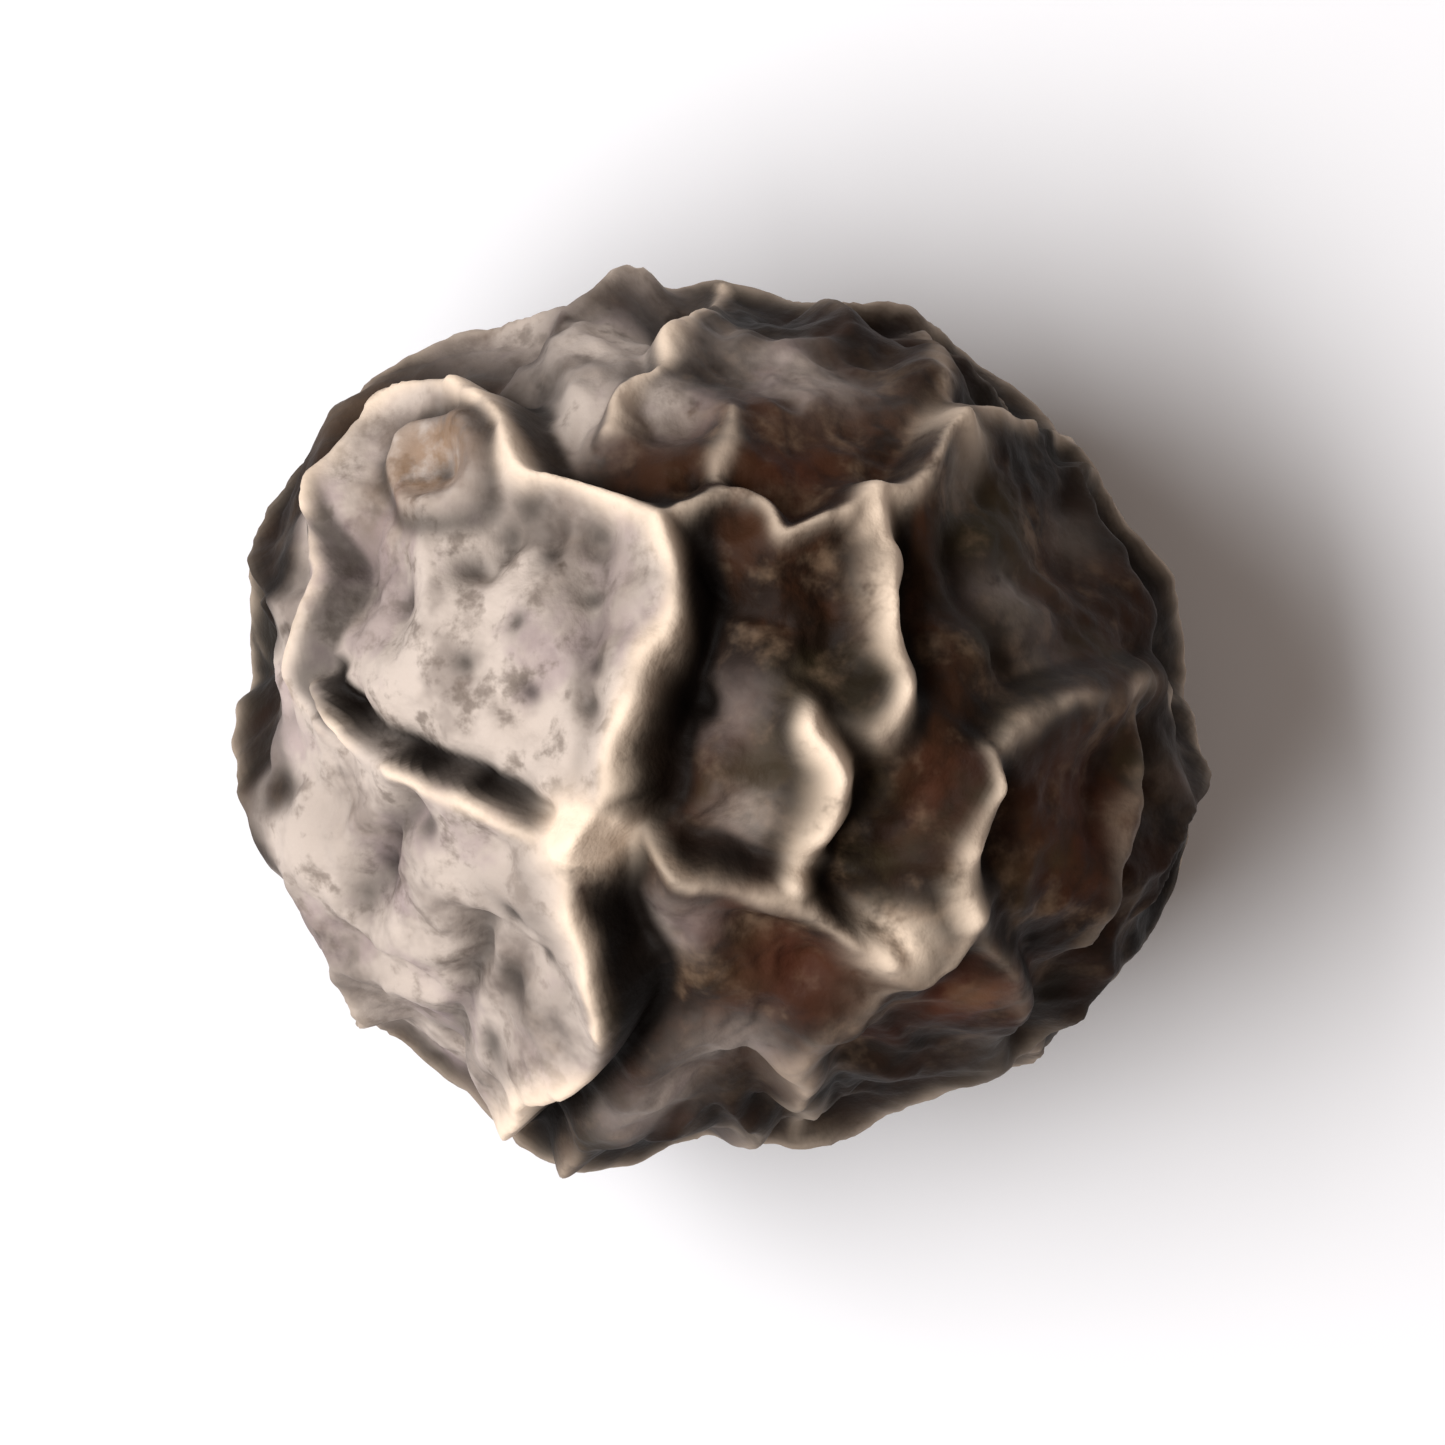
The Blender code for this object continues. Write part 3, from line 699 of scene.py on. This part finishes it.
def worn_and_painted_shade(places, wandered):
    """How worn the crests and knots make the skin, the knots with a painted highlight, and the painted
    shade by the crests, folds, pits and scar.
    """
    worn = np.zeros(len(places))
    painted_shade = np.zeros(len(places))
    for net, strength in zip(HIDDEN_NETS, HIDDEN_WORN):
        line = hidden_crests(net, wandered) ** HIDDEN_LINE_POWER
        worn = np.maximum(worn, strength * line)

    varied = 1 + LINE_VARIATION * waves(places, LINE_VARIATION_SCALE, LINE_VARIATION_SHIFT)
    for wrinkle, line in zip(CRESTS, LINES):
        across, side, _ = nearest_on(wrinkle, wandered)
        rubbed = np.exp(-((across * (1 + LINE_LEAN * side) / (line.width * varied)) ** 2))
        worn = np.maximum(worn, line.worn * rubbed)
        depth = math.sqrt(min(1.0, wrinkle.valley / SHADE_VALLEY_DEPTH))
        # Painted shade on the steep flank and valley, on the side away from the light
        flank = smooth_step(FLANK_FROM, FLANK_FULL, across)
        flank *= 1 - smooth_step(FLANK_FULL_TO * depth, FLANK_TO * depth + TINY, across)
        flank *= np.where(side > 0, 1.0, line.right_flank) * side ** 2
        painted_shade = np.maximum(painted_shade, flank * depth)
    # Painted shade along the folds
    for fold in FOLDS:
        across, _, _ = nearest_on(fold, wandered)
        fold_shade = -fold.height * FOLD_SHADE
        painted_shade = np.maximum(painted_shade, fold_shade * np.exp(-((across / FOLD_SHADE_WIDTH) ** 2)))

    # Pale spots on the knots' tops: wear and a painted highlight
    for (x, y, height), strength in zip(KNOTS, KNOT_WEAR_AND_HIGHLIGHTS):
        away = from_place(places, x, y, KNOT_FOOT + height)
        worn = np.maximum(worn, strength * np.exp(-((away / KNOT_WEAR_AND_HIGHLIGHT_RADIUS) ** 2)))
    # Painted shade in the pits, in the scar's sunken middle and in the ring round its rim
    for x, y, radius, _ in PITS:
        away = from_place(places, x, y)
        painted_shade = np.maximum(painted_shade, PIT_SHADE * np.exp(-((away / radius) ** 2)))
    away = from_scar(places)
    for ring in SCAR_SHADE_RINGS:
        groove = np.exp(-(((away - ring) / SCAR_SHADE_WIDTH) ** 2))
        painted_shade = np.maximum(painted_shade, SCAR_SHADE_STRENGTH * groove)
    return worn * (1 - spots(places, UNWORN_SPOTS)), painted_shade


def height_over_rim(directions):
    """How high these directions point, counted higher toward one side and unevenly."""
    lean = math.radians(RIM_LEAN_AZIMUTH)
    leaning = directions @ np.array((math.cos(lean), math.sin(lean), 0.0))
    rim_height = directions[:, 2] + RIM_LEAN * smooth_step(RIM_LEAN_SPREAD, 1.0, leaning)
    for raggedness, scale in zip(RIM_RAGGEDNESS, RIM_RAGGED_SCALES):
        rim_height += raggedness * waves(directions * MEAN_RADIUS, scale, RIM_RAGGED_SHIFT)
    return rim_height


def dust_and_sheen_share(places, wandered, rim_height):
    """How much dust and painted sheen the skin has: the two broad panels, and the spots listed for
    them.
    """
    border = (BORDER_START, *CRESTS[0].points, *CRESTS[1].points[1:], BORDER_END)
    across, side, _ = nearest_on(CRESTS[0]._replace(points=border), wandered)
    # Dust and a painted sheen on the broad panels that face the light
    dust_and_sheen = smooth_step(DUST_AND_SHEEN_EDGE, -DUST_AND_SHEEN_EDGE, across * side)
    dust_and_sheen *= 1 - THIN_BAND_SHARE * np.exp(-(((across - THIN_BAND_PLACE) / THIN_BAND_WIDTH) ** 2))
    dust_and_sheen *= 1 - spots(places, THIN_DUST_AND_SHEEN_SPOTS)
    dust_and_sheen *= smooth_step(RIM_FROM, RIM_BY, rim_height)
    return np.maximum(dust_and_sheen, spots(places, DUST_AND_SHEEN_SPOTS))


def looks(directions, level):
    """How worn the skin is in these directions, with a painted highlight on the knots, and how much
    painted shade, dust with a painted sheen, rust and tan it has, from 0 to 1.
    """
    places = directions * MEAN_RADIUS
    wandered = wandering(places)
    rim_height = height_over_rim(directions)
    worn, painted_shade = worn_and_painted_shade(places, wandered)
    dust_and_sheen = dust_and_sheen_share(places, wandered, rim_height)

    # Painted shade in the hollows
    hollow = smooth_step(HOLLOW_FROM, HOLLOW_FULL, -level)
    # Painted shade over the rim, less where there is dust
    low_down = PAINTED_RIM_SHADE * smooth_step(LOW_FROM, LOW_BY, rim_height) * (1 - dust_and_sheen)
    painted_shade = np.maximum(painted_shade, np.maximum(hollow, low_down)) * (1 - np.minimum(worn, 1.0))
    return {
        "worn": worn,
        "painted_shade": painted_shade,
        "dust_and_sheen": dust_and_sheen,
        "rusty": spots(places, RUSTY_SPOTS),
        "tanned": spots(places, TANNED_SPOTS),
    }


def skin_points(directions, level):
    """The skin's points in mm, this far above the smooth berry."""
    azimuths = np.arctan2(directions[:, 1], directions[:, 0])
    radius = outline_radius(azimuths)
    reach = np.where(directions[:, 2] > 0, CROWN_HEIGHT, BASE_DEPTH)
    extents = np.column_stack([radius, radius, reach])
    facing = directions / extents
    facing /= np.linalg.norm(facing, axis=1)[:, None]
    return directions * extents + level[:, None] * facing


def press_flat(points):
    """Draws every point below the resting level in toward the middle, onto that level."""
    floor = -BASE_DEPTH * math.sqrt(1 - (FLAT_SPOT_RADIUS / MEAN_RADIUS) ** 2)
    below = points[:, 2] < floor
    points[below] *= (floor / points[below, 2])[:, None]
    points[below, 2] = floor
    return points


def make_skin():
    """The whole wrinkled skin as one closed mesh, with the shares that colour it."""
    shape = bmesh.new()
    bmesh.ops.create_icosphere(shape, subdivisions=1, radius=1.0)
    bmesh.ops.subdivide_edges(shape, edges=shape.edges[:], cuts=EDGE_SPLITS - 1, use_grid_fill=True)
    # The points lie closer together toward the crown, where the wrinkles are finest
    crownward = Vector((0.0, 0.0, CROWN_DENSITY))
    directions = np.array([(vertex.co.normalized() + crownward).normalized() for vertex in shape.verts])

    level = relief(directions)
    points = press_flat(skin_points(directions, level))
    low = points.min(axis=0)
    high = points.max(axis=0)
    middle = np.array(((low[0] + high[0]) / 2, (low[1] + high[1]) / 2, low[2]))
    fine_level = level + fine_relief(directions)
    points = press_flat(skin_points(directions, fine_level)) - middle
    for vertex, point in zip(shape.verts, points):
        vertex.co = Vector(point) * MM

    bmesh.ops.recalc_face_normals(shape, faces=shape.faces[:])
    mesh = bpy.data.meshes.new("wrinkled_skin")
    shape.to_mesh(mesh)
    shape.free()
    mesh.polygons.foreach_set("use_smooth", [True] * len(mesh.polygons))
    for name, share in looks(directions, fine_level).items():
        mesh.attributes.new(name, "FLOAT", "POINT").data.foreach_set("value", share)
    return mesh


def linear(hex_colour):
    """An sRGB hex colour as the linear colour that a node takes."""
    channels = [int(hex_colour[i:i + 2], 16) / 255 for i in (1, 3, 5)]
    return (*((c / 12.92 if c <= 0.04045 else ((c + 0.055) / 1.055) ** 2.4) for c in channels), 1.0)


def add_node(tree, kind, inputs=None, **settings):
    """Adds a node with its settings. Each input takes a value or another node's output."""
    node = tree.nodes.new(kind)
    for name, value in settings.items():
        setattr(node, name, value)
    for name, value in (inputs or {}).items():
        if isinstance(value, bpy.types.NodeSocket):
            tree.links.new(value, node.inputs[name])
        else:
            node.inputs[name].default_value = value
    return node


def layered_colour(tree, place):
    """The skin's colour: every layer of LAYERS over the near-black skin. The place is in mm."""
    colour = linear(SKIN_COLOUR)
    for index, layer in enumerate(LAYERS):
        moved = add_node(
            tree, "ShaderNodeVectorMath", {0: place, 1: (LAYER_SPACING * index, 0.0, 0.0)},
            operation="ADD",
        ).outputs[0]
        blotches = add_node(
            tree, "ShaderNodeTexNoise",
            {"Vector": moved, "Scale": 1 / layer.blotch, "Detail": BLOTCH_DETAIL,
             "Roughness": BLOTCH_ROUGHNESS},
        ).outputs[0]
        share = add_node(
            tree, "ShaderNodeMapRange",
            {"Value": blotches, "From Min": layer.begins, "From Max": layer.full,
             "To Max": layer.cover},
            interpolation_type="SMOOTHSTEP",
        ).outputs[0]
        if layer.share:
            named = add_node(tree, "ShaderNodeAttribute", attribute_name=layer.share).outputs["Fac"]
            share = add_node(
                tree, "ShaderNodeMath", {0: share, 1: named}, operation="MULTIPLY"
            ).outputs[0]
        colour = add_node(
            tree, "ShaderNodeMix",
            {"Factor": share, "A": colour, "B": linear(layer.colour)},
            data_type="RGBA",
        ).outputs["Result"]
    return colour


def dried_pericarp():
    """Sun-dried pepper skin: the shrunken flesh browned to near black and set hard.

    It keeps a faint waxy gloss and a greyish dust with a sheen painted into it, its crests are worn to
    a pale tan by rubbing against other berries, with a highlight painted on the knots, and shade is
    painted into its valleys, folds, pits, hollows and rim.
    """
    material = bpy.data.materials.new("dried_pericarp")
    material.use_nodes = True
    tree = material.node_tree
    shader = tree.nodes["Principled BSDF"]
    # The mesh is in metres, and this place in mm
    place = add_node(tree, "ShaderNodeTexCoord").outputs["Object"]
    place = add_node(
        tree, "ShaderNodeVectorMath", {0: place, "Scale": 1 / MM}, operation="SCALE"
    ).outputs[0]

    patches = add_node(
        tree, "ShaderNodeTexNoise",
        {"Vector": place, "Scale": 1 / ROUGH_PATCH_WIDTH, "Detail": ROUGH_PATCH_DETAIL},
    ).outputs[0]
    roughness = add_node(
        tree, "ShaderNodeMapRange",
        {"Value": patches, "From Min": ROUGH_PATCH_LEVELS[0], "From Max": ROUGH_PATCH_LEVELS[1],
         "To Min": SKIN_ROUGHNESS[0], "To Max": SKIN_ROUGHNESS[1]},
    ).outputs[0]
    grain = add_node(
        tree, "ShaderNodeTexNoise",
        {"Vector": place, "Scale": 1 / CELL_WIDTH, "Detail": CELL_DETAIL},
    ).outputs[0]
    bump = add_node(
        tree, "ShaderNodeBump",
        {"Height": grain, "Strength": CELL_STRENGTH, "Distance": CELL_HEIGHT * MM},
    ).outputs[0]
    tree.links.new(layered_colour(tree, place), shader.inputs["Base Color"])
    tree.links.new(roughness, shader.inputs["Roughness"])
    tree.links.new(bump, shader.inputs["Normal"])
    shader.inputs["IOR"].default_value = SKIN_IOR
    shader.inputs["Specular IOR Level"].default_value = SKIN_GLOSS
    return material


def matt_paper():
    """White matt paper: an even, soft white with no gloss."""
    material = bpy.data.materials.new("matt_paper")
    material.use_nodes = True
    shader = material.node_tree.nodes["Principled BSDF"]
    shader.inputs["Base Color"].default_value = linear(PAPER_COLOUR)
    shader.inputs["Roughness"].default_value = PAPER_ROUGHNESS
    return material


def put(name, data):
    """Adds an object to the scene."""
    made = bpy.data.objects.new(name, data)
    bpy.context.scene.collection.objects.link(made)
    return made


def make_camera():
    """Looks straight down on the berry's middle, with the photograph's upper edge along +Y."""
    data = bpy.data.cameras.new("photo_camera")
    data.lens = CAMERA_LENS_MM
    data.sensor_width = SENSOR_MM
    distance = FRAME_WIDTH * MM * CAMERA_LENS_MM / SENSOR_MM
    data.clip_start = distance / CLIP_FACTOR
    data.clip_end = distance * CLIP_FACTOR
    camera = put("photo_camera", data)
    camera.location = (0.0, 0.0, (cad_high[2] + cad_low[2]) / 2 + distance)
    bpy.context.scene.camera = camera


def make_light():
    """One soft box high on the left, and an even pale surround."""
    data = bpy.data.lights.new("soft_box", "AREA")
    data.shape = "RECTANGLE"
    data.size = KEY_WIDTH
    data.size_y = KEY_HEIGHT
    data.energy = KEY_POWER
    lamp = put("soft_box", data)
    azimuth = math.radians(KEY_AZIMUTH)
    elevation = math.radians(KEY_ELEVATION)
    toward = Vector((
        math.cos(azimuth) * math.cos(elevation),
        math.sin(azimuth) * math.cos(elevation),
        math.sin(elevation),
    ))
    lamp.location = toward * KEY_DISTANCE
    lamp.rotation_euler = toward.to_track_quat("Z", "Y").to_euler()

    world = bpy.data.worlds.new("pale_surround")
    world.use_nodes = True
    surround = world.node_tree.nodes["Background"]
    surround.inputs["Color"].default_value = linear(FILL_COLOUR)
    surround.inputs["Strength"].default_value = FILL_STRENGTH
    bpy.context.scene.world = world
    bpy.context.scene.view_settings.view_transform = "Standard"


def make_floor():
    """A wide pale floor at the level that the berry rests on."""
    half = FLOOR_SIZE / 2
    mesh = bpy.data.meshes.new("floor")
    corners = [(-half, -half, 0), (half, -half, 0), (half, half, 0), (-half, half, 0)]
    mesh.from_pydata(corners, [], [(0, 1, 2, 3)])
    mesh.materials.append(matt_paper())
    put("floor", mesh)


make_camera()
make_light()
make_floor()

skin = put("wrinkled_skin", make_skin())
skin.data.materials.append(dried_pericarp())
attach(skin, "root")
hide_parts("peppercorn")
